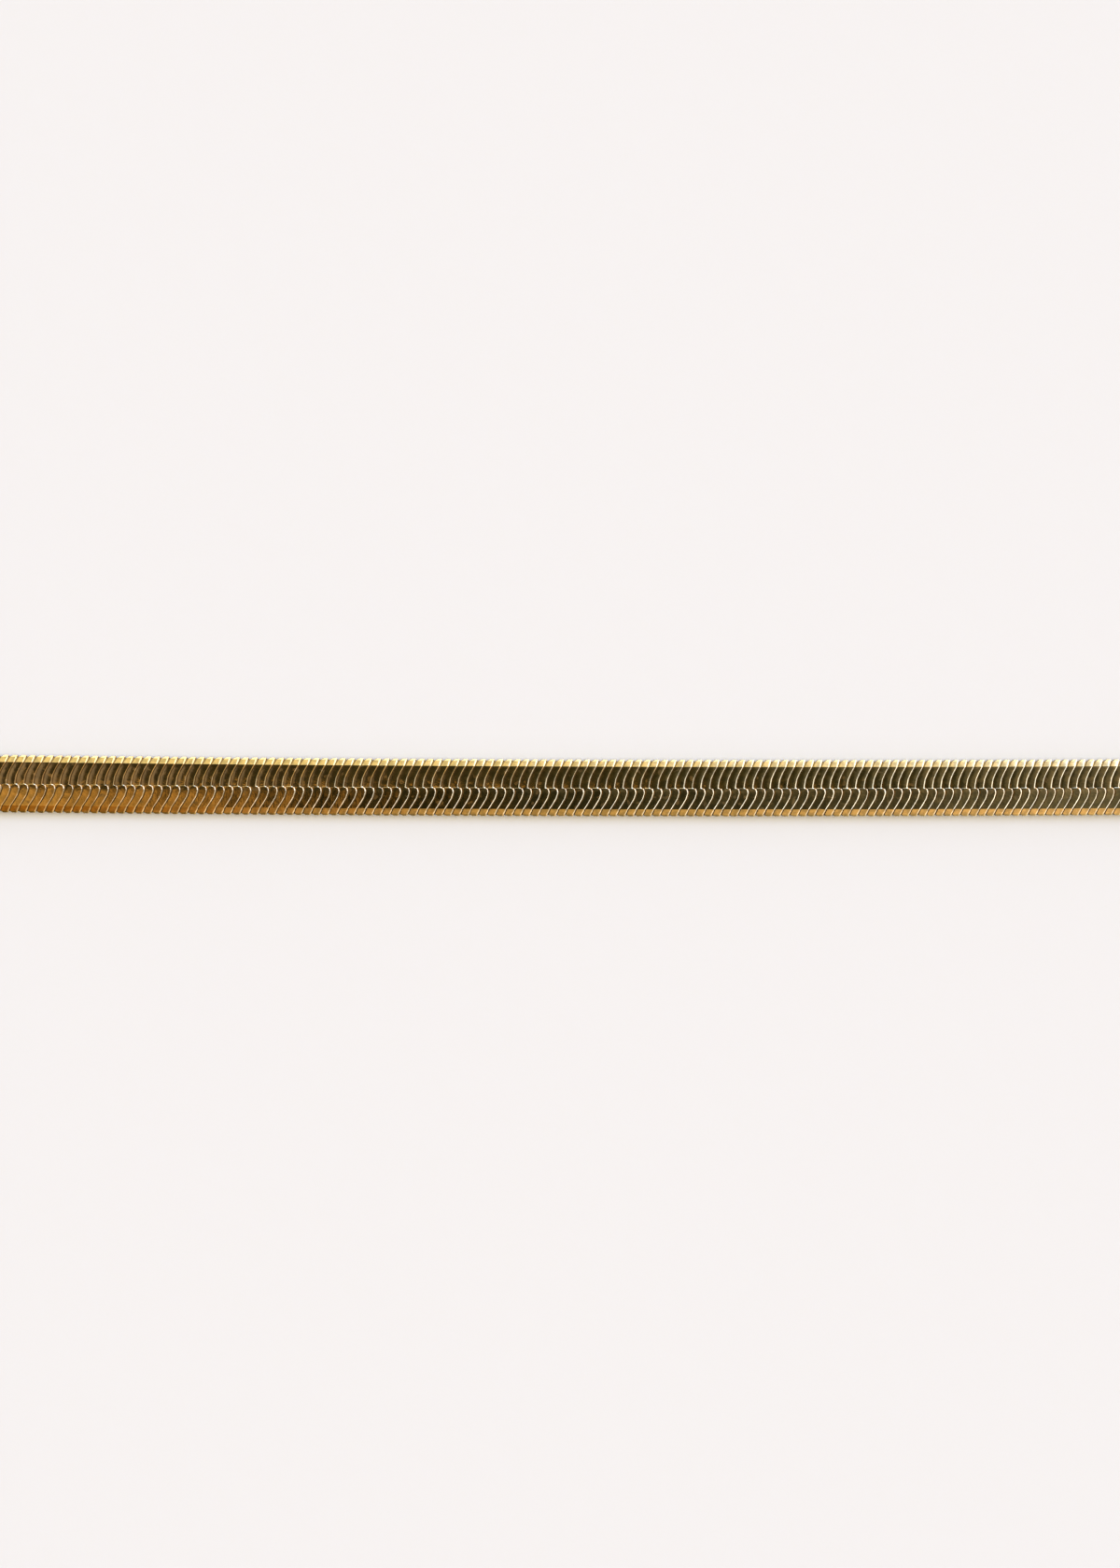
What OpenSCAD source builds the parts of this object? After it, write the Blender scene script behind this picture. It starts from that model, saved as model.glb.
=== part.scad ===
// Flat snake chain necklace, laid out closed on a level surface, face up.
// The origin is at the centre of its footprint on that surface. The front stretch runs along X,
// on the -Y side, and the clasp lies in the middle of the back stretch.

/* [Necklace] */
// Length of the closed necklace along its middle line, with the clasp
necklace_l = 450; // [420:5:520]
// Length of the nearly straight front stretch
front_l = 96; // [80:2:120]
// How far the middle of the front stretch bows out from its chord
front_bow = 0.25; // [0.15:0.05:2]

/* [Chain] */
// Width across both rows of links
chain_w = 4; // [3:0.25:5]
// Thickness over the flat faces
chain_t = 1; // [0.8:0.05:1.4]
// Width of the sloping edge, seen from above
edge_w = 0.5; // [0.3:0.05:0.7]
// Depth that the sloping edge drops by
edge_drop = 0.3; // [0.2:0.02:0.38]
// Width of the seam where the two rows meet
seam_w = 0.16; // [0.1:0.02:0.3]
// Depth of the seam
seam_depth = 0.05; // [0.02:0.01:0.12]

/* [End caps] */
// Length of the folded cap, without its ring
cap_l = 6; // [5.4:0.2:9]
// How deep the chain sits in the cap
cap_grip = 4.4; // [3:0.2:4.8]
// Thickness of the cap's wall
cap_wall = 0.4; // [0.3:0.05:0.6]
// Gap between the chain and the cap
cap_gap = 0.1; // [0.05:0.01:0.15]
// Length of the cap's narrowed shoulder
cap_shoulder_l = 0.9; // [0.5:0.1:1.2]
// Width of the neck that carries the ring
cap_neck_w = 1.6; // [1.2:0.1:2.2]
// Thickness of the neck
cap_neck_t = 1; // [0.7:0.05:1.2]
// Wire diameter of the ring soldered to the cap
ring_wire = 0.8; // [0.6:0.05:1]
// Play of the clasp's wire in that ring, on each side
ring_play = 0.35; // [0.25:0.05:0.5]
// Level stretch of chain in front of the cap's mouth
cap_lead = 2; // [1:0.5:6]

/* [Clasp] */
// Wire diameter of the claw at its far end
claw_wire = 1.3; // [1:0.05:1.6]
// Diameter of the claw's arm where it leaves the body
claw_root_d = 1.6; // [1.4:0.05:1.9]
// Diameter of the lever where it meets the claw's tip
lever_tip_d = 1.05; // [0.8:0.05:1.2]
// Clear width inside the claw
claw_open = 2.8; // [2.2:0.1:4]
// Free length in the claw beside the ring that it holds
claw_room = 1.1; // [0.6:0.1:2]
// Thickness of the clasp's round body
body_t = 2.4; // [2:0.1:2.8]
// Radius that rounds the body's edges
body_round = 0.7; // [0.3:0.05:0.9]
// Wire diameter of the eye at the clasp's base
eye_wire = 0.9; // [0.7:0.05:1.1]
// Play of the cap's ring in the eye, on each side
eye_play = 0.45; // [0.35:0.05:0.7]
// Height of the thumb nub on the lever
nub_h = 0.8; // [0.4:0.1:1.4]
// Diameter of the thumb nub
nub_d = 1.1; // [0.8:0.05:1.5]

/* [Hidden] */
$fn = 64;
DEGREES = 180 / PI;
GOLD = [0.86, 0.68, 0.35];

// Rings of the swept chain in each half of the front, each end bend and each ramp
front_steps = 3;
bend_steps = 28;
ramp_steps = 7;

// The cap wraps the chain, and stands on the same surface as it
cap_margin = cap_wall + cap_gap;
cap_w = chain_w + 2 * cap_margin;
cap_h = chain_t + 2 * cap_margin;

// The cap's ring stands upright on the surface, around the clasp's wire
ring_bore = claw_wire + 2 * ring_play;
ring_mean_r = (ring_bore + ring_wire) / 2;
ring_z = ring_mean_r + ring_wire / 2;

// The clasp lies level on the lowest wire of both rings
clasp_lift = 0.1;
clasp_z = ring_wire + clasp_lift + claw_wire / 2;
claw_mean_r = (claw_open + claw_wire) / 2;
body_r = claw_mean_r + claw_root_d / 2;
clasp_w = 2 * body_r;
// How far from its centre the ring's wire crosses the clasp's level
ring_cross = sqrt(pow(ring_mean_r, 2) - pow(ring_z - clasp_z, 2));
arm_l = body_r + claw_room + ring_cross + ring_wire / 2 - claw_mean_r;
eye_bore = ring_wire + 2 * eye_play;
eye_mean_r = (eye_bore + eye_wire) / 2;
eye_sink = 0.4;
eye_x = -(body_r + eye_mean_r + eye_wire / 2 - eye_sink);
// Middle of the claw's end wire, and of the eye's far wire, from the body's centre
claw_end_x = arm_l + claw_mean_r;
eye_end_x = eye_x - eye_mean_r;
// Both rings stand this far from the middle of the back, and the clasp is centred between them
ring_x = (claw_end_x - eye_end_x) / 2;
clasp_x = -(claw_end_x + eye_end_x) / 2;

// The cap, measured from the middle of the back
ring_sink = 0.3;
// How far the pocket's cut runs past the mouth
overcut = 1;
cap_neck_x = ring_x + sqrt(pow(ring_mean_r, 2) - pow(ring_z - cap_h / 2, 2));
cap_start_x = ring_x + ring_mean_r + ring_wire / 2 - ring_sink;
cap_mouth_x = cap_start_x + cap_l;
chain_end_x = cap_mouth_x - cap_grip;

// The loop: a nearly straight front arc, two end bends and a straight back
front_r = pow(front_l, 2) / (8 * front_bow);
front_turn = front_l / 2 / front_r * DEGREES;
bend_r = (necklace_l / 2 - front_l / 2 - front_r * sin(front_turn))
    / (PI - front_turn / DEGREES - sin(front_turn));
bend_l = bend_r * (PI - front_turn / DEGREES);
bend_x = (front_r - bend_r) * sin(front_turn);
loop_depth = front_r - (front_r - bend_r) * cos(front_turn) + bend_r;
front_y = -(loop_depth + max(cap_w, clasp_w) / 2 - chain_w / 2) / 2;
back_y = front_y + loop_depth;
bend_y = back_y - bend_r;

// The chain lies on the surface, and climbs a little before it enters the caps
ramp_start = front_l / 2 + bend_l;
ramp_l = bend_x - cap_mouth_x - cap_lead;
chain_half_l = ramp_start + bend_x - chain_end_x;

// Middle line at distance s from the middle of the front: [x, y, heading in degrees]
function loop_at(s) =
    s < 0 ? let (p = loop_at(-s)) [-p.x, p.y, -p.z]
    : s < front_l / 2 ? let (h = s / front_r * DEGREES)
        [front_r * sin(h), front_y + front_r * (1 - cos(h)), h]
    : s < ramp_start ? let (h = front_turn + (s - front_l / 2) / bend_r * DEGREES)
        [bend_x + bend_r * sin(h), bend_y - bend_r * cos(h), h]
    : [bend_x - (s - ramp_start), back_y, 180];

// Height of the chain's underside at distance s: a smooth climb over the ramp
function rise_at(s) =
    let (t = max(0, min(1, (abs(s) - ramp_start) / ramp_l)))
    cap_margin * t * t * (3 - 2 * t);

half_stations = concat(
    [for (i = [0 : front_steps - 1]) front_l / 2 * i / front_steps],
    [for (i = [0 : bend_steps - 1]) front_l / 2 + bend_l * i / bend_steps],
    [for (i = [0 : ramp_steps]) ramp_start + ramp_l * i / ramp_steps],
    [chain_half_l]);
stations = concat(
    [for (i = [len(half_stations) - 1 : -1 : 1]) -half_stations[i]],
    half_stations);

// Flat band with sloping edges, grown by a margin: [across, up] points, counter-clockwise
function band_outline(margin = 0) =
    let (
        w = chain_w / 2 + margin,
        flat = chain_w / 2 - edge_w + margin / 2,
        low = -margin,
        high = chain_t + margin,
        side_low = edge_drop - margin / 2,
        side_high = chain_t - edge_drop + margin / 2
    )
    [[-w, side_low], [-flat, low], [flat, low], [w, side_low],
     [w, side_high], [flat, high], [-flat, high], [-w, side_high]];

// The same outline with a shallow seam along the middle of both faces
function seamed_outline() =
    let (b = band_outline(), s = seam_w / 2)
    [b[0], b[1], [-s, 0], [0, seam_depth], [s, 0], b[2], b[3],
     b[4], b[5], [s, chain_t], [0, chain_t - seam_depth], [-s, chain_t], b[6], b[7]];

// Sweeps an outline along the loop, with one ring at each station
module sweep_loop(outline, at) {
    n = len(outline);
    last = len(at) - 1;
    points = [for (s = at, q = outline)
        let (p = loop_at(s))
        [p.x - q.x * sin(p.z), p.y + q.x * cos(p.z), q.y + rise_at(s)]];
    sides = [for (i = [0 : last - 1], j = [0 : n - 1])
        let (k = (j + 1) % n)
        [i * n + j, (i + 1) * n + j, (i + 1) * n + k, i * n + k]];
    first_end = [for (j = [0 : n - 1]) j];
    last_end = [for (j = [n - 1 : -1 : 0]) last * n + j];
    polyhedron(points = points, faces = concat([first_end, last_end], sides), convexity = 10);
}

// A ring of round wire about the Z axis
module wire_ring(mean_r, wire, turn = 360) {
    rotate_extrude(angle = turn)
        translate([mean_r, 0]) circle(d = wire);
}

// A straight bar along X, from the origin
module bar(l, d1, d2) {
    rotate([0, 90, 0]) cylinder(h = l, d1 = d1, d2 = d2);
}

// An outline in the YZ plane, extruded along X from the origin
module extrude_x(l, outline) {
    rotate([90, 0, 90]) linear_extrude(height = l) polygon(outline);
}

module chain() {
    color(GOLD) sweep_loop(seamed_outline(), stations);
}

// Plan of the cap: square at its mouth, with a cut shoulder down to the neck
module cap_plan() {
    polygon([
        [cap_mouth_x, -cap_w / 2], [cap_mouth_x, cap_w / 2],
        [cap_start_x + cap_shoulder_l, cap_w / 2], [cap_start_x, cap_neck_w / 2],
        [cap_start_x, -cap_neck_w / 2], [cap_start_x + cap_shoulder_l, -cap_w / 2]]);
}

// The right-hand cap, with its middle line on the X axis
module end_cap() {
    difference() {
        intersection() {
            translate([cap_start_x, 0, cap_margin])
                extrude_x(cap_l, band_outline(cap_margin));
            linear_extrude(height = cap_h) cap_plan();
        }
        translate([chain_end_x - cap_gap, 0, cap_margin])
            extrude_x(cap_grip + overcut, band_outline(cap_gap));
    }
    translate([cap_neck_x, -cap_neck_w / 2, (cap_h - cap_neck_t) / 2])
        cube([cap_start_x + cap_shoulder_l - cap_neck_x, cap_neck_w, cap_neck_t]);
    translate([ring_x, 0, ring_z])
        rotate([90, 0, 0]) wire_ring(ring_mean_r, ring_wire);
}

module end_cap_right() {
    color(GOLD) translate([0, back_y, 0]) end_cap();
}

module end_cap_left() {
    color(GOLD) translate([0, back_y, 0]) mirror([1, 0, 0]) end_cap();
}

// Round body of the clasp: a thick disc with rounded edges
module clasp_body() {
    rotate_extrude() {
        translate([0, -body_t / 2])
            square([body_r - body_round, body_t]);
        translate([0, -body_t / 2 + body_round])
            square([body_r, body_t - 2 * body_round]);
        for (side = [-1, 1])
            translate([body_r - body_round, side * (body_t / 2 - body_round)])
                circle(r = body_round);
    }
}

// A plain lobster claw, closed, about its body's centre. The arm lies on the +Y side
// and the lever, with its thumb nub, on the -Y side.
module claw() {
    clasp_body();
    translate([0, claw_mean_r, 0]) bar(arm_l, claw_root_d, claw_wire);
    translate([0, -claw_mean_r, 0]) bar(arm_l, claw_root_d, lever_tip_d);
    translate([arm_l, 0, 0]) rotate([0, 0, -90]) wire_ring(claw_mean_r, claw_wire, 180);
    translate([eye_x, 0, 0]) wire_ring(eye_mean_r, eye_wire);
    translate([body_r + nub_d / 2, -claw_mean_r, 0]) {
        rotate([90, 0, 0]) cylinder(h = nub_h, d = nub_d);
        translate([0, -nub_h, 0]) sphere(d = nub_d);
    }
}

module clasp() {
    color(GOLD) translate([clasp_x, back_y, clasp_z]) claw();
}

chain();
end_cap_left();
end_cap_right();
clasp();
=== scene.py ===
import math
import random

import bmesh
import bpy
from mathutils import Matrix, Vector


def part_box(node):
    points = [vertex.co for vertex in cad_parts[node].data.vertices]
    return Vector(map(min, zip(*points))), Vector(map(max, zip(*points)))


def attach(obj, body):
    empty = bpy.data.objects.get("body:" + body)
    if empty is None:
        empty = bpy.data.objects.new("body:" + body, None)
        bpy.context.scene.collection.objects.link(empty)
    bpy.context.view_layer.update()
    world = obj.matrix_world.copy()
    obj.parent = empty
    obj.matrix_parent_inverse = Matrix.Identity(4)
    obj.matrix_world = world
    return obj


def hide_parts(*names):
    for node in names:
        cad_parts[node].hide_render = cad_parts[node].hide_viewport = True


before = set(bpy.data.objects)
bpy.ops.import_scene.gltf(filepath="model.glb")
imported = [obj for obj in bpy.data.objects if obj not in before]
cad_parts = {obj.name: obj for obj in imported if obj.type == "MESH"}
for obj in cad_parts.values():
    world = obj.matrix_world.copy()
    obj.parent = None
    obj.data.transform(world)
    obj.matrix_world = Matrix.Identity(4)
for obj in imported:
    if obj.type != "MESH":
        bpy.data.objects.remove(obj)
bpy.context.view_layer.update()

mm = 0.001
weld = 0.001 * mm            # points nearer than this are one point
scene = bpy.context.scene

# The chain's route, as the frame lays it out: a front arc, two end bends and a straight back
route = {
    "length": 450 * mm,      # of the closed necklace, with its clasp
    "front": 96 * mm,        # the nearly straight stretch that the camera looks at
    "bow": 0.25 * mm,        # how far its middle bows out
    "width": 4 * mm,
    "thick": 1 * mm,
    "climb": 0.5 * mm,       # how high the chain lies where it enters the caps
    "lead": 2 * mm,          # level stretch in front of each cap
    "grip": 4.4 * mm,        # how deep it sits in the cap
    "step": 0.5 * mm,        # either side of a place, to find the slope there
}

chainLow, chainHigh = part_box("chain")
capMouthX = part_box("end_cap_right")[1].x
frontY = chainLow.y + route["width"] / 2
backY = chainHigh.y - route["width"] / 2
frontRadius = route["front"] ** 2 / (8 * route["bow"])
frontTurn = route["front"] / 2 / frontRadius
bendRadius = ((route["length"] / 2 - route["front"] / 2 - frontRadius * math.sin(frontTurn))
              / (math.pi - frontTurn - math.sin(frontTurn)))
bendX = (frontRadius - bendRadius) * math.sin(frontTurn)
bendY = backY - bendRadius
backStart = route["front"] / 2 + bendRadius * (math.pi - frontTurn)
climbLength = bendX - capMouthX - route["lead"]
halfLength = backStart + bendX - capMouthX + route["grip"]


# x, y and heading at a distance along the chain from the middle of the front
def routeAt(s):
    if s < 0:
        x, y, heading = routeAt(-s)
        return -x, y, -heading
    if s < route["front"] / 2:
        heading = s / frontRadius
        return frontRadius * math.sin(heading), frontY + frontRadius * (1 - math.cos(heading)), heading
    if s < backStart:
        heading = frontTurn + (s - route["front"] / 2) / bendRadius
        return bendX + bendRadius * math.sin(heading), bendY - bendRadius * math.cos(heading), heading
    return bendX - (s - backStart), backY, math.pi


# Height of the chain's underside there: a smooth climb towards the caps
def climbAt(s):
    t = max(0, min(1, (abs(s) - backStart) / climbLength))
    return route["climb"] * t * t * (3 - 2 * t)


# The place of a clip there, with its own x along the chain
def placeAt(s):
    x, y, heading = routeAt(s)
    step = route["step"]
    slope = math.atan((climbAt(s + step) - climbAt(s - step)) / (2 * step))
    return (Matrix.Translation((x, y, climbAt(s)))
            @ Matrix.Rotation(heading, 4, "Z") @ Matrix.Rotation(-slope, 4, "Y"))


# An object from a finished bmesh, with its place in its mesh
def addPiece(name, bm, material, replaced=()):
    mesh = bpy.data.meshes.new(name)
    bm.to_mesh(mesh)
    bm.free()
    mesh.materials.append(material)
    piece = bpy.data.objects.new(name, mesh)
    scene.collection.objects.link(piece)
    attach(piece, "root")
    if replaced:
        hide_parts(*replaced)
    return piece


def addNode(tree, kind, place=(0, 0), **settings):
    node = tree.nodes.new(kind)
    node.location = place
    for key, value in settings.items():
        setattr(node, key, value)
    return node


def setRange(node, edges):
    node.inputs["From Min"].default_value, node.inputs["From Max"].default_value = edges


wearShape = {
    "waveDetail": 2.0,
    "scratchDetail": 3.0,
    "scratchStretch": (1.0, 0.12, 0.12),   # the noise's scale across and along the scratches
    "speckDetail": 0.0,
    "speckFrom": (0.68, 0.76),   # of the noise, where a speck starts and where it is whole
    "toneRange": (0.41, 0.59),   # of the waves, between the deep tint and the light one
}


# Small waves, fine scratches, haze and specks of use, which both gold finishes share
def makeWearGroup():
    group = bpy.data.node_groups.new("polishWear", "ShaderNodeTree")
    face = group.interface
    face.new_socket("Vector", in_out="INPUT", socket_type="NodeSocketVector")
    for name in ("Wave Scale", "Scratch Scale", "Speck Scale", "Roughness", "Haze", "Speck Haze",
                 "Scratch Depth"):
        face.new_socket(name, in_out="INPUT", socket_type="NodeSocketFloat")
    for name in ("Roughness", "Height", "Tone"):
        face.new_socket(name, in_out="OUTPUT", socket_type="NodeSocketFloat")
    link = group.links.new
    given = addNode(group, "NodeGroupInput", (-1100, 0))
    wave = addNode(group, "ShaderNodeTexNoise", (-700, 300))
    wave.inputs["Detail"].default_value = wearShape["waveDetail"]
    link(given.outputs["Vector"], wave.inputs["Vector"])
    link(given.outputs["Wave Scale"], wave.inputs["Scale"])
    squeeze = addNode(group, "ShaderNodeMapping", (-900, -150))
    squeeze.inputs["Scale"].default_value = wearShape["scratchStretch"]
    link(given.outputs["Vector"], squeeze.inputs["Vector"])
    scratch = addNode(group, "ShaderNodeTexNoise", (-700, -150))
    scratch.inputs["Detail"].default_value = wearShape["scratchDetail"]
    link(squeeze.outputs["Vector"], scratch.inputs["Vector"])
    link(given.outputs["Scratch Scale"], scratch.inputs["Scale"])
    speck = addNode(group, "ShaderNodeTexNoise", (-700, -450))
    speck.inputs["Detail"].default_value = wearShape["speckDetail"]
    link(given.outputs["Vector"], speck.inputs["Vector"])
    link(given.outputs["Speck Scale"], speck.inputs["Scale"])
    sparse = addNode(group, "ShaderNodeMapRange", (-500, -450), interpolation_type="SMOOTHSTEP")
    setRange(sparse, wearShape["speckFrom"])
    link(speck.outputs["Fac"], sparse.inputs["Value"])

    def addScaled(source, scale, base):
        node = addNode(group, "ShaderNodeMath", (-300, 0), operation="MULTIPLY_ADD")
        for socket, value in zip(node.inputs, (source, scale, base)):
            link(value, socket)
        return node.outputs[0]

    hazed = addScaled(wave.outputs["Fac"], given.outputs["Haze"], given.outputs["Roughness"])
    specked = addScaled(sparse.outputs["Result"], given.outputs["Speck Haze"], hazed)
    raised = addScaled(scratch.outputs["Fac"], given.outputs["Scratch Depth"], wave.outputs["Fac"])
    put = addNode(group, "NodeGroupOutput", (0, 0))
    link(specked, put.inputs["Roughness"])
    link(raised, put.inputs["Height"])
    link(wave.outputs["Fac"], put.inputs["Tone"])
    return group


wearGroup = makeWearGroup()

chainGold = {
    "deep": (0.67, 0.53, 0.24),
    "light": (0.94, 0.71, 0.30),
    "shadeColor": (0.30, 0.20, 0.07),     # painted shade between the clips, for the faces that the attribute marks
    "shadeRoughness": 0.2,
    "bump": 0.7,
    "bumpDepth": 0.006 * mm,
    "wear": {"Wave Scale": 2600.0, "Scratch Scale": 9000.0, "Speck Scale": 2200.0, "Roughness": 0.04,
             "Haze": 0.08, "Speck Haze": 0.12, "Scratch Depth": 0.25},
}
fittingGold = {
    "deep": (0.87, 0.645, 0.29),
    "light": (0.94, 0.73, 0.36),
    # painted shade for hollows, as on the chain; the cast fittings carry no attribute that marks it, so
    # it doesn't show
    "shadeColor": (0.17, 0.105, 0.035),
    "shadeRoughness": 0.2,
    "bump": 0.5,
    "bumpDepth": 0.010 * mm,
    "wear": {"Wave Scale": 900.0, "Scratch Scale": 5000.0, "Speck Scale": 6000.0, "Roughness": 0.10,
             "Haze": 0.08, "Speck Haze": 0.08, "Scratch Depth": 0.3},
}


def makeGold(name, finish):
    material = bpy.data.materials.new(name)
    material.use_nodes = True
    tree = material.node_tree
    tree.nodes.clear()
    link = tree.links.new
    where = addNode(tree, "ShaderNodeTexCoord", (-900, 0))
    wear = addNode(tree, "ShaderNodeGroup", (-650, 0), node_tree=wearGroup)
    for key, value in finish["wear"].items():
        wear.inputs[key].default_value = value
    link(where.outputs["Object"], wear.inputs["Vector"])
    spread = addNode(tree, "ShaderNodeMapRange", (-500, 250))
    setRange(spread, wearShape["toneRange"])
    link(wear.outputs["Tone"], spread.inputs["Value"])
    tint = addNode(tree, "ShaderNodeMix", (-350, 200), data_type="RGBA")
    tint.inputs["A"].default_value = (*finish["deep"], 1)
    tint.inputs["B"].default_value = (*finish["light"], 1)
    link(spread.outputs["Result"], tint.inputs["Factor"])
    # Painted shade: where the mesh's attribute marks it, the base colour turns to the dark shade colour
    # and the metal gets rougher
    paintedShade = addNode(tree, "ShaderNodeAttribute", (-650, 450), attribute_name="paintedShade")
    shadeColor = addNode(tree, "ShaderNodeMix", (-150, 300), data_type="RGBA")
    shadeColor.inputs["B"].default_value = (*finish["shadeColor"], 1)
    link(paintedShade.outputs["Fac"], shadeColor.inputs["Factor"])
    link(tint.outputs["Result"], shadeColor.inputs["A"])
    shadeAndDull = addNode(tree, "ShaderNodeMath", (-150, 50), operation="MULTIPLY_ADD")
    shadeAndDull.inputs[1].default_value = finish["shadeRoughness"]
    link(paintedShade.outputs["Fac"], shadeAndDull.inputs[0])
    link(wear.outputs["Roughness"], shadeAndDull.inputs[2])
    bump = addNode(tree, "ShaderNodeBump", (-350, -200))
    bump.inputs["Strength"].default_value = finish["bump"]
    bump.inputs["Distance"].default_value = finish["bumpDepth"]
    link(wear.outputs["Height"], bump.inputs["Height"])
    gold = addNode(tree, "ShaderNodeBsdfPrincipled", (0, 0))
    gold.inputs["Metallic"].default_value = 1.0
    link(shadeColor.outputs["Result"], gold.inputs["Base Color"])
    link(shadeAndDull.outputs[0], gold.inputs["Roughness"])
    link(bump.outputs["Normal"], gold.inputs["Normal"])
    shown = addNode(tree, "ShaderNodeOutputMaterial", (300, 0))
    link(gold.outputs["BSDF"], shown.inputs["Surface"])
    return material


chainMaterial = makeGold("link_gold", chainGold)
fittingMaterial = makeGold("cap_gold", fittingGold)
print("gold finishes made")

# One clip is a flat wire that starts at the seam of one face, wraps the chain's edge and ends in a
# round head at the seam of the other face. Two of them, one for each row, repeat at each pitch.
# Lengths are in millimetres, from the seam's foot and the chain's underside.
clip = {
    "pitch": 0.613,
    "firstFoot": 0.22,       # from the middle of the front
    "crownDeep": 0.005,      # depth of the flat face's left edge, and of the clip's own left edge
    "leftDeep": 0.037,
    "rimFoot": 0.012,        # from the clip's right edge in to the foot of the rim
    "side": 0.12,            # depth of the foot of the clip's right side
    "columns": ("across", "up", "facing", "right", "reach", "crown", "rim", "drop", "sink", "turn"),
    "stations": [
        (-0.040, 0.973, 0, 0.000, 0.70, 0.55, 0.088, 0.034, 0.004, 0),
        (0.20, 0.973, 0, 0.018, 0.70, 0.55, 0.084, 0.032, 0.004, 0),
        (0.62, 0.972, 1, 0.090, 0.70, 0.55, 0.076, 0.028, 0.002, 0),
        (1.05, 0.968, 1, 0.275, 0.70, 0.55, 0.070, 0.026, 0, 0),
        (1.50, 0.958, 15, 0.530, 0.70, 0.53, 0.084, 0.032, 0, 0),
        (1.87, 0.738, 33, 0.675, 0.58, 0.45, 0.110, 0.041, 0, 0),
        (1.99, 0.630, 60, 0.725, 0.36, 0.29, 0.090, 0.034, 0, 0),
        (1.99, 0.360, 120, 0.750, 0.40, 0.35, 0.100, 0.020, 0, 0),
        (1.87, 0.262, 147, 0.785, 0.59, 0.54, 0.105, 0.016, 0, 0),
        (1.50, 0.045, 165, 0.950, 0.70, 0.57, 0.092, 0.040, 0, 0),
        (1.15, 0.035, 178, 1.170, 0.70, 0.55, 0.086, 0.037, 0, 0),
        (0.76, 0.022, 178, 1.400, 0.70, 0.55, 0.088, 0.038, 0, 0),
        (0.36, 0.015, 180, 1.527, 0.70, 0.55, 0.090, 0.039, 0, 0),
        (0.14, 0.015, 180, 1.510, 0.70, 0.55, 0.102, 0.042, 0, 12),
        (0.01, 0.017, 180, 1.420, 0.66, 0.51, 0.122, 0.048, 0, 24),
        (-0.05, 0.019, 180, 1.270, 0.56, 0.42, 0.128, 0.049, 0, 36),
        (-0.045, 0.022, 180, 1.080, 0.42, 0.30, 0.098, 0.039, 0, 51),
        (-0.02, 0.025, 180, 0.880, 0.30, 0.20, 0.056, 0.022, 0, 79),
    ],
    "creases": (4, 5, 6, 7, 8, 9),   # stations where the flat faces, sloping edges and side meet
    "softTo": 5,                     # the station up to which the flat face's left edge is rounded
    "shadedRim": 0.22,                  # the share of painted shade along the rim's upper edge,
    "shadedRimFrom": 10,                # from this station on
    "polished": ({1, 2}, {2, 3}),    # corners of the outline with the flat face and the rim between them; all other faces get painted shade
    "middle": (0.5, 1.1, 0.5),       # the point about which a clip leans
    "tilt": (0.4, 0.5, 0.4),         # degrees that it may lean about each axis, either way
    "shift": 0.010,                  # how far it may slide along the chain, either way
    "seed": 11,
}


# Points of a station's outline: left edge, left of the flat face, start and foot of the rim, and
# foot of the side
def clipSection(station):
    row = dict(zip(clip["columns"], station))
    facing, turn = math.radians(row["facing"]), math.radians(row["turn"])
    outline = [
        (row["reach"], clip["leftDeep"] + row["sink"]),
        (row["crown"], clip["crownDeep"] + row["sink"]),
        (row["rim"], 0),
        (clip["rimFoot"], row["drop"]),
        (0, clip["side"]),
    ]
    points = []
    for left, deep in outline:
        points.append(Vector((row["right"] - left * math.cos(turn),
                              row["across"] + left * math.sin(turn) - deep * math.sin(facing),
                              row["up"] - deep * math.cos(facing))) * mm)
    return points


def makeClip():
    bm = bmesh.new()
    shade = bm.loops.layers.float_color.new("paintedShade")
    rings = [[bm.verts.new(point) for point in clipSection(clip["stations"][0])]]
    end = bm.faces.new(rings[0])
    for station in clip["stations"][1:]:
        inner = end
        made = bmesh.ops.extrude_face_region(bm, geom=[inner])["geom"]
        end = next(item for item in made if isinstance(item, bmesh.types.BMFace))
        if len(rings) > 1:
            bmesh.ops.delete(bm, geom=[inner], context="FACES_ONLY")
        ring = [min(end.verts, key=lambda vert: (vert.co - old.co).length) for old in rings[-1]]
        for vert, point in zip(ring, clipSection(station)):
            vert.co = point
        rings.append(ring)
    bmesh.ops.recalc_face_normals(bm, faces=bm.faces[:])
    corners = len(rings[0])
    cornerOf = {vert: j for ring in rings for j, vert in enumerate(ring)}
    shadedRim = {ring[2] for ring in rings[clip["shadedRimFrom"]:]}
    # Painted shade in the gaps between the clips: every face but the flat face and the rim is marked
    # whole, and the rim's upper edge from the later stations on by a share
    for face in bm.faces:
        face.smooth = len(face.verts) == 4
        polished = {cornerOf[vert] for vert in face.verts} in clip["polished"]
        for loop in face.loops:
            shadeAndDull = clip["shadedRim"] if polished and loop.vert in shadedRim else 0 if polished else 1
            loop[shade] = (shadeAndDull, shadeAndDull, shadeAndDull, 1)
    for i, (here, after) in enumerate(zip(rings, rings[1:])):
        for j in range(corners):
            bm.edges.get((here[j], after[j])).smooth = i < clip["softTo"] and j == 1
    for i in (0, len(rings) - 1, *clip["creases"]):
        for j in range(corners):
            bm.edges.get((rings[i][j], rings[i][(j + 1) % corners])).smooth = False
    mesh = bpy.data.meshes.new("clip")
    bm.to_mesh(mesh)
    bm.free()
    return mesh


clipMesh = makeClip()
print("clip made,", len(clipMesh.polygons), "faces")

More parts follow.
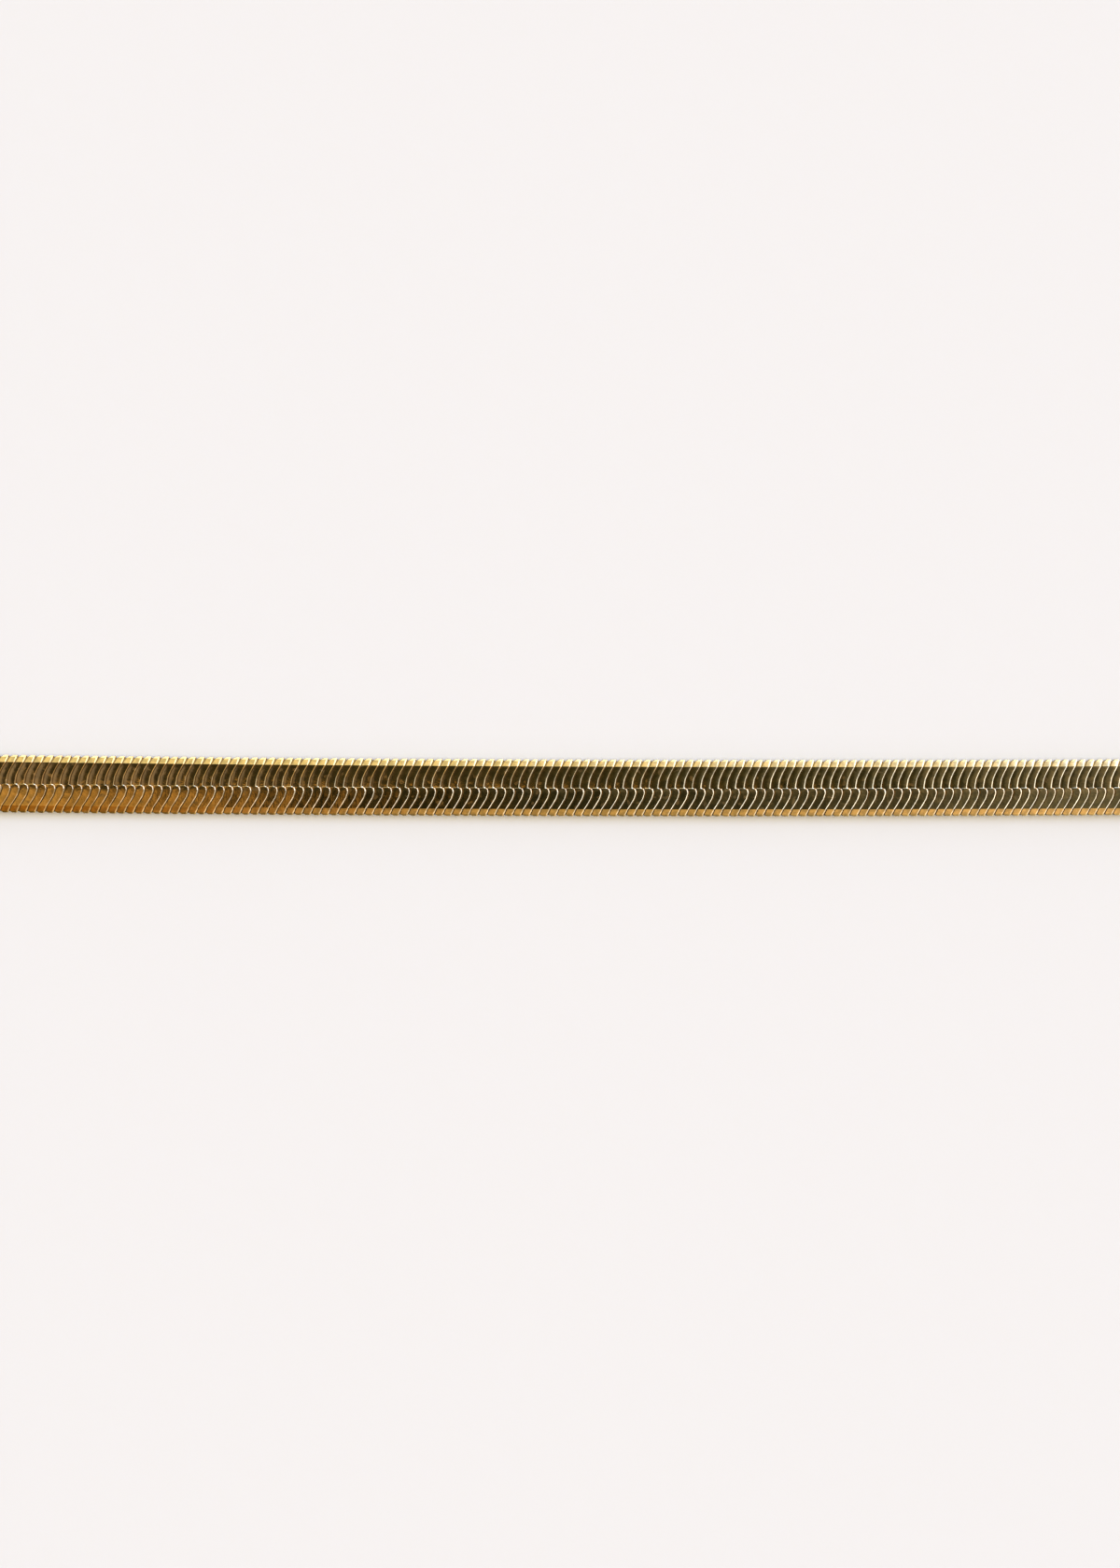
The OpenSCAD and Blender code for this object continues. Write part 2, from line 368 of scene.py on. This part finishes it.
# Turned over about the chain's own axis, a clip of the upper row serves the lower row
turnOver = Matrix.Translation((0, 0, route["thick"])) @ Matrix.Rotation(math.pi, 4, "X")
clipMiddle = Vector(clip["middle"]) * mm
chance = random.Random(clip["seed"])


# A small random lean and slide, so that the clips don't all mirror alike
def lean():
    turn = Matrix.Identity(4)
    for axis, most in zip("XYZ", clip["tilt"]):
        turn = turn @ Matrix.Rotation(math.radians(chance.uniform(-most, most)), 4, axis)
    slide = Vector((chance.uniform(-1, 1), 0, 0)) * clip["shift"] * mm
    return Matrix.Translation(clipMiddle + slide) @ turn @ Matrix.Translation(-clipMiddle)


# The clips of both rows whose feet lie in a stretch of the route
def makeLinks(name, start, stop):
    bm = bmesh.new()
    pitch = clip["pitch"] * mm
    k = math.ceil((start - clip["firstFoot"] * mm) / pitch)
    count = 0
    while clip["firstFoot"] * mm + k * pitch < stop:
        place = placeAt(clip["firstFoot"] * mm + k * pitch)
        for side in (Matrix.Identity(4), turnOver):
            one = clipMesh.copy()
            one.transform(place @ side @ lean())
            bm.from_mesh(one)
            bpy.data.meshes.remove(one)
            count += 1
        k += 1
    addPiece(name, bm, chainMaterial, ["chain"])
    print(name, "made,", count, "clips")


# How far a clip may reach past its foot, so that the last ones end inside the caps
reachLeft, reachRight = 0.75 * mm, 1.6 * mm
frontEnd = route["front"] / 2
makeLinks("links_front", -frontEnd, frontEnd)
makeLinks("links_right", frontEnd, halfLength - reachRight)
makeLinks("links_left", -halfLength + reachLeft, -frontEnd)

# Under the clips a plain band closes the gaps between them. It is narrow enough to leave the notches
# along the edges open.
core = {
    "inset": 0.45 * mm,      # from the chain's edges
    "depth": 0.15 * mm,      # below its faces
}


def makeCore():
    bm = bmesh.new()
    bm.from_mesh(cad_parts["chain"].data)
    bmesh.ops.remove_doubles(bm, verts=bm.verts[:], dist=weld)
    bm.normal_update()
    # Painted shade: the whole band is marked, so it shows in the dark shade colour through the gaps
    # between the clips
    shade = bm.loops.layers.float_color.new("paintedShade")
    for face in bm.faces:
        for loop in face.loops:
            loop[shade] = (1, 1, 1, 1)
    pull = Vector((core["inset"], core["inset"], core["depth"]))
    for vert, point in [(vert, vert.co - vert.normal * pull) for vert in bm.verts]:
        vert.co = point
    return addPiece("chain_core", bm, chainMaterial, ["chain"])


makeCore()

# The caps and the clasp are cast and polished: their edges are rounded and their joints filled
fittings = {
    "pieces": {"end_cap_left": "cap_left", "end_cap_right": "cap_right", "clasp": "claw_clasp"},
    "grain": 0.07,           # millimetres between points of the cast surface
    "polish": 7,             # rounds of smoothing
}


def castFitting(node, name):
    bm = bmesh.new()
    bm.from_mesh(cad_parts[node].data)
    bmesh.ops.remove_doubles(bm, verts=bm.verts[:], dist=weld)
    bmesh.ops.scale(bm, vec=(1 / mm, 1 / mm, 1 / mm), verts=bm.verts[:])
    mesh = bpy.data.meshes.new("blank")
    bm.to_mesh(mesh)
    bm.free()
    blank = bpy.data.objects.new("blank", mesh)
    scene.collection.objects.link(blank)
    grain = blank.modifiers.new("grain", "REMESH")
    grain.mode = "VOXEL"
    grain.voxel_size = fittings["grain"]
    polish = blank.modifiers.new("polish", "SMOOTH")
    polish.iterations = fittings["polish"]
    cast = bmesh.new()
    cast.from_object(blank, bpy.context.evaluated_depsgraph_get())
    bpy.data.objects.remove(blank)
    bpy.data.meshes.remove(mesh)
    bmesh.ops.scale(cast, vec=(mm, mm, mm), verts=cast.verts[:])
    for face in cast.faces:
        face.smooth = True
    print(name, "cast,", len(cast.faces), "faces")
    addPiece(name, cast, fittingMaterial, [node])


for node, name in fittings["pieces"].items():
    castFitting(node, name)

# A plain sheet of pale paper under the necklace
paper = {
    "size": 6.0,
    "color": (0.534, 0.560, 0.529),
    "roughness": 0.9,
    "shine": 0.2,
    "grain": 450.0,
    "grainDetail": 4.0,
    "relief": 0.02 * mm,
}


def makePaper():
    bm = bmesh.new()
    bmesh.ops.create_grid(bm, x_segments=1, y_segments=1, size=paper["size"] / 2)
    mesh = bpy.data.meshes.new("paper")
    bm.to_mesh(mesh)
    bm.free()
    sheet = bpy.data.objects.new("paper", mesh)
    scene.collection.objects.link(sheet)
    material = bpy.data.materials.new("paper")
    material.use_nodes = True
    tree = material.node_tree
    finish = tree.nodes["Principled BSDF"]
    finish.inputs["Base Color"].default_value = (*paper["color"], 1)
    finish.inputs["Roughness"].default_value = paper["roughness"]
    finish.inputs["Specular IOR Level"].default_value = paper["shine"]
    where = addNode(tree, "ShaderNodeTexCoord", (-800, 0))
    grain = addNode(tree, "ShaderNodeTexNoise", (-600, 0))
    grain.inputs["Scale"].default_value = paper["grain"]
    grain.inputs["Detail"].default_value = paper["grainDetail"]
    bump = addNode(tree, "ShaderNodeBump", (-300, -100))
    bump.inputs["Distance"].default_value = paper["relief"]
    tree.links.new(where.outputs["Object"], grain.inputs["Vector"])
    tree.links.new(grain.outputs["Fac"], bump.inputs["Height"])
    tree.links.new(bump.outputs["Normal"], finish.inputs["Normal"])
    mesh.materials.append(material)


makePaper()

# The camera looks straight down on the front stretch, with its left end a little nearer
camera = {
    "lens": 85.0,
    "sensor": 36.0,
    "frame": (1200, 1680),
    "viewWidth": 78.5 * mm,
    "below": 4.1,            # pixels from the picture's middle down to the chain's middle
    "yaw": 6.0,
    "roll": 0.2,
    "clip": (0.01, 20.0),
}


def makeCamera():
    data = bpy.data.cameras.new("camera")
    data.lens = camera["lens"]
    data.sensor_width = camera["sensor"]
    data.clip_start, data.clip_end = camera["clip"]
    eye = bpy.data.objects.new("camera", data)
    scene.collection.objects.link(eye)
    wide, high = camera["frame"]
    viewHeight = camera["viewWidth"] * high / wide
    distance = viewHeight / 2 / (camera["sensor"] / 2 / camera["lens"])
    above = camera["below"] * camera["viewWidth"] / wide
    target = Vector((0, frontY + above, route["thick"]))
    turn = (Matrix.Rotation(math.radians(-camera["yaw"]), 4, "Y")
            @ Matrix.Rotation(math.radians(camera["roll"]), 4, "Z"))
    eye.matrix_world = Matrix.Translation(target) @ turn @ Matrix.Translation((0, 0, distance))
    scene.camera = eye


makeCamera()

# The studio that the metal mirrors: pale on the far side and on the right, dark straight overhead,
# where the camera is, and amber beside that. Each wall has one colour or several at places along x.
studio = {
    "strength": 1.0,
    "near": [(-0.06, (0.33, 0.14, 0.022)), (0.10, (0.56, 0.39, 0.20)), (0.26, (0.88, 0.62, 0.41))],
    "far": [(-0.05, (0.95, 0.85, 0.62)), (0.03, (1.03, 0.96, 0.93)), (0.10, (1.06, 1.04, 1.16)),
            (0.17, (1.16, 1.26, 1.80)), (0.21, (1.55, 2.05, 4.00)), (0.25, (2.00, 3.00, 6.80))],
    "right": [(0.70, (0.48, 0.34, 0.29)), (0.74, (0.60, 0.52, 0.50)), (0.775, (0.70, 0.72, 0.98)),
              (0.815, (1.05, 1.15, 1.85)), (0.86, (1.60, 1.85, 3.00)), (0.90, (1.80, 1.95, 3.10))],
    "nearRight": [(0.68, (0.46, 0.31, 0.22)), (0.74, (0.72, 0.53, 0.36)), (0.775, (0.66, 0.59, 0.66)),
                  (0.80, (0.86, 0.92, 1.40)), (0.83, (1.55, 1.75, 2.90)), (0.87, (2.10, 2.40, 4.00))],
    "nearFoot": [(0.72, (1.05, 0.80, 0.72)), (0.74, (1.30, 1.10, 1.30)), (0.78, (1.60, 1.70, 2.80)),
                 (0.82, (2.05, 2.40, 4.20)), (0.88, (2.40, 2.75, 4.70))],
    "left": (0.09, 0.06, 0.03),
    "leftFar": (0.75, 0.72, 0.28),
    "leftFoot": (0.62, 0.52, 0.38),
    "farFoot": (1.9, 1.95, 2.2),
    "horizon": [(-0.05, (0.19, 0.125, 0.04)), (0.10, (0.32, 0.25, 0.14)), (0.24, (0.58, 0.47, 0.33))],
    "lowRight": [(0.41, (0.88, 0.62, 0.46)), (0.48, (1.00, 0.86, 0.95)), (0.54, (1.25, 1.18, 1.45)),
                 (0.64, (1.50, 1.38, 1.75))],
    "window": [(0.57, (2.30, 1.70, 1.75)), (0.65, (2.60, 2.40, 2.60)), (0.73, (3.00, 3.10, 4.40))],
    "windowTowards": (0.60, 0.76, 0.34),
    "windowAngles": (15.0, 26.0),
    "farRight": [(0.42, (1.35, 0.98, 0.90)), (0.50, (1.35, 1.10, 1.20)), (0.58, (1.50, 1.50, 2.20)),
                 (0.66, (1.75, 1.85, 3.10)), (0.74, (2.10, 2.30, 4.20)), (0.82, (2.60, 3.00, 5.60))],
    "overhead": [(-0.20, (0.18, 0.12, 0.095)), (-0.13, (0.040, 0.032, 0.018)),
                 (-0.02, (0.026, 0.022, 0.010)), (0.035, (0.014, 0.0125, 0.005)),
                 (0.09, (0.028, 0.027, 0.015)), (0.16, (0.062, 0.057, 0.040)),
                 (0.235, (0.155, 0.148, 0.13))],
    "overheadFar": [(-0.21, (0.27, 0.21, 0.19)), (-0.14, (0.050, 0.038, 0.020)),
                    (-0.04, (0.040, 0.034, 0.015)), (0.04, (0.050, 0.046, 0.027)),
                    (0.10, (0.115, 0.110, 0.095)), (0.16, (0.150, 0.130, 0.100)),
                    (0.235, (0.32, 0.29, 0.28))],
    "overheadTowards": (0.0, 0.0, 1.0),
    "overheadAngles": (20.0, 44.0),
    "amber": [(-0.065, (0.62, 0.37, 0.14)), (-0.045, (0.35, 0.165, 0.024)), (-0.030, (0.70, 0.41, 0.16)),
              (-0.014, (0.36, 0.165, 0.022)), (0.005, (0.60, 0.33, 0.115)), (0.025, (0.27, 0.13, 0.02))],
}

# Where each wall starts and where it is whole, by the x, y and z of the direction towards it
studioEdges = {
    "far": {"y": (-0.55, 0.45)},
    "right": {"x": (0.28, 0.60)},
    "nearRight": {"x": (0.45, 0.58), "y": (-0.15, -0.28)},
    "nearFoot": {"x": (0.45, 0.58), "y": (-0.33, -0.45)},
    "left": {"x": (-0.24, -0.42)},
    "leftFar": {"y": (0.50, 0.75)},
    "leftFoot": {"z": (0.43, 0.33)},
    "farFoot": {"z": (0.30, 0.14), "y": (0.75, 0.90)},
    "horizon": {"z": (0.42, 0.28), "y": (-0.45, -0.75), "x": (0.50, 0.30)},
    "lowRight": {"x": (0.32, 0.38), "y": (-0.64, -0.74)},
    "window": {"x": (0.32, 0.48)},
    "farRight": {"x": (0.32, 0.42), "y": (-0.02, 0.12), "z": (0.42, 0.47)},
    "overheadFar": {"y": (-0.015, 0.025)},
    "amber": {"y": (-0.002, -0.019), "x": (0.0227, -0.0297)},
}


def makeStudio():
    world = bpy.data.worlds.new("studio")
    scene.world = world
    world.use_nodes = True
    tree = world.node_tree
    tree.nodes.clear()
    link = tree.links.new
    where = addNode(tree, "ShaderNodeTexCoord", (-1200, 0))
    split = addNode(tree, "ShaderNodeSeparateXYZ", (-1000, -200))
    link(where.outputs["Generated"], split.inputs["Vector"])
    axes = {axis: split.outputs[axis.upper()] for axis in "xyz"}

    def ramp(source, low, high):
        node = addNode(tree, "ShaderNodeMapRange", (-700, 0), interpolation_type="SMOOTHSTEP")
        setRange(node, (low, high))
        link(source, node.inputs["Value"])
        return node.outputs["Result"]

    def blend(mask, first, second):
        node = addNode(tree, "ShaderNodeMix", (-300, 0), data_type="RGBA")
        for socket, value in (("A", first), ("B", second)):
            if isinstance(value, tuple):
                node.inputs[socket].default_value = (*value, 1)
            else:
                link(value, node.inputs[socket])
        link(mask, node.inputs["Factor"])
        return node.outputs["Result"]

    def times(first, second):
        node = addNode(tree, "ShaderNodeMath", (-500, 0), operation="MULTIPLY")
        link(first, node.inputs[0])
        link(second, node.inputs[1])
        return node.outputs[0]

    def colorOf(wall):
        stops = studio[wall]
        if isinstance(stops, tuple):
            return stops
        shade = stops[0][1]
        for (low, first), (high, second) in zip(stops, stops[1:]):
            shade = blend(ramp(axes["x"], low, high), shade, second)
        return shade

    def maskOf(wall):
        mask = None
        for axis, edges in studioEdges[wall].items():
            part = ramp(axes[axis], *edges)
            mask = times(mask, part) if mask else part
        return mask

    def paint(base, wall):
        return blend(maskOf(wall), base, colorOf(wall))

    def spot(towards, angles):
        along = addNode(tree, "ShaderNodeVectorMath", (-900, 200), operation="DOT_PRODUCT")
        link(where.outputs["Generated"], along.inputs[0])
        along.inputs[1].default_value = Vector(towards).normalized()
        inner, outer = (math.cos(math.radians(angle)) for angle in angles)
        return ramp(along.outputs["Value"], outer, inner)

    walls = colorOf("near")
    for wall in ("far", "right", "nearRight", "nearFoot"):
        walls = paint(walls, wall)
    leftSide = paint(paint(studio["left"], "leftFar"), "leftFoot")
    walls = blend(maskOf("left"), walls, leftSide)
    for wall in ("farFoot", "horizon", "lowRight"):
        walls = paint(walls, wall)
    windowMask = times(spot(studio["windowTowards"], studio["windowAngles"]), maskOf("window"))
    walls = paint(blend(windowMask, walls, colorOf("window")), "farRight")
    patch = paint(paint(colorOf("overhead"), "overheadFar"), "amber")
    lit = blend(spot(studio["overheadTowards"], studio["overheadAngles"]), walls, patch)
    light = addNode(tree, "ShaderNodeBackground", (0, 0))
    light.inputs["Strength"].default_value = studio["strength"]
    link(lit, light.inputs["Color"])
    shown = addNode(tree, "ShaderNodeOutputWorld", (200, 0))
    link(light.outputs["Background"], shown.inputs["Surface"])


makeStudio()

# Soft, distant light from the far side draws the short shadow, and wide light from overhead lights the
# paper. The polished metal mirrors only the studio, not these lamps.
lamps = {
    "farLamp": {"towards": (0.12, 0.50, 0.86), "angle": 28.0,
                "strength": 0.85, "color": (0.86, 0.95, 1.25)},
    "overheadLamp": {"towards": (0.0, 0.0, 1.0), "angle": 45.0,
                     "strength": 2.8, "color": (1.0, 0.86, 0.67)},
}


def makeLamp(name, lamp):
    data = bpy.data.lights.new(name, "SUN")
    data.angle = math.radians(lamp["angle"])
    data.energy = lamp["strength"]
    data.color = lamp["color"]
    body = bpy.data.objects.new(name, data)
    scene.collection.objects.link(body)
    body.matrix_world = Vector(lamp["towards"]).to_track_quat("Z", "Y").to_matrix().to_4x4()
    body.visible_camera = False
    body.visible_glossy = False


for name, lamp in lamps.items():
    makeLamp(name, lamp)
scene.view_settings.view_transform = "Standard"
print("studio made")
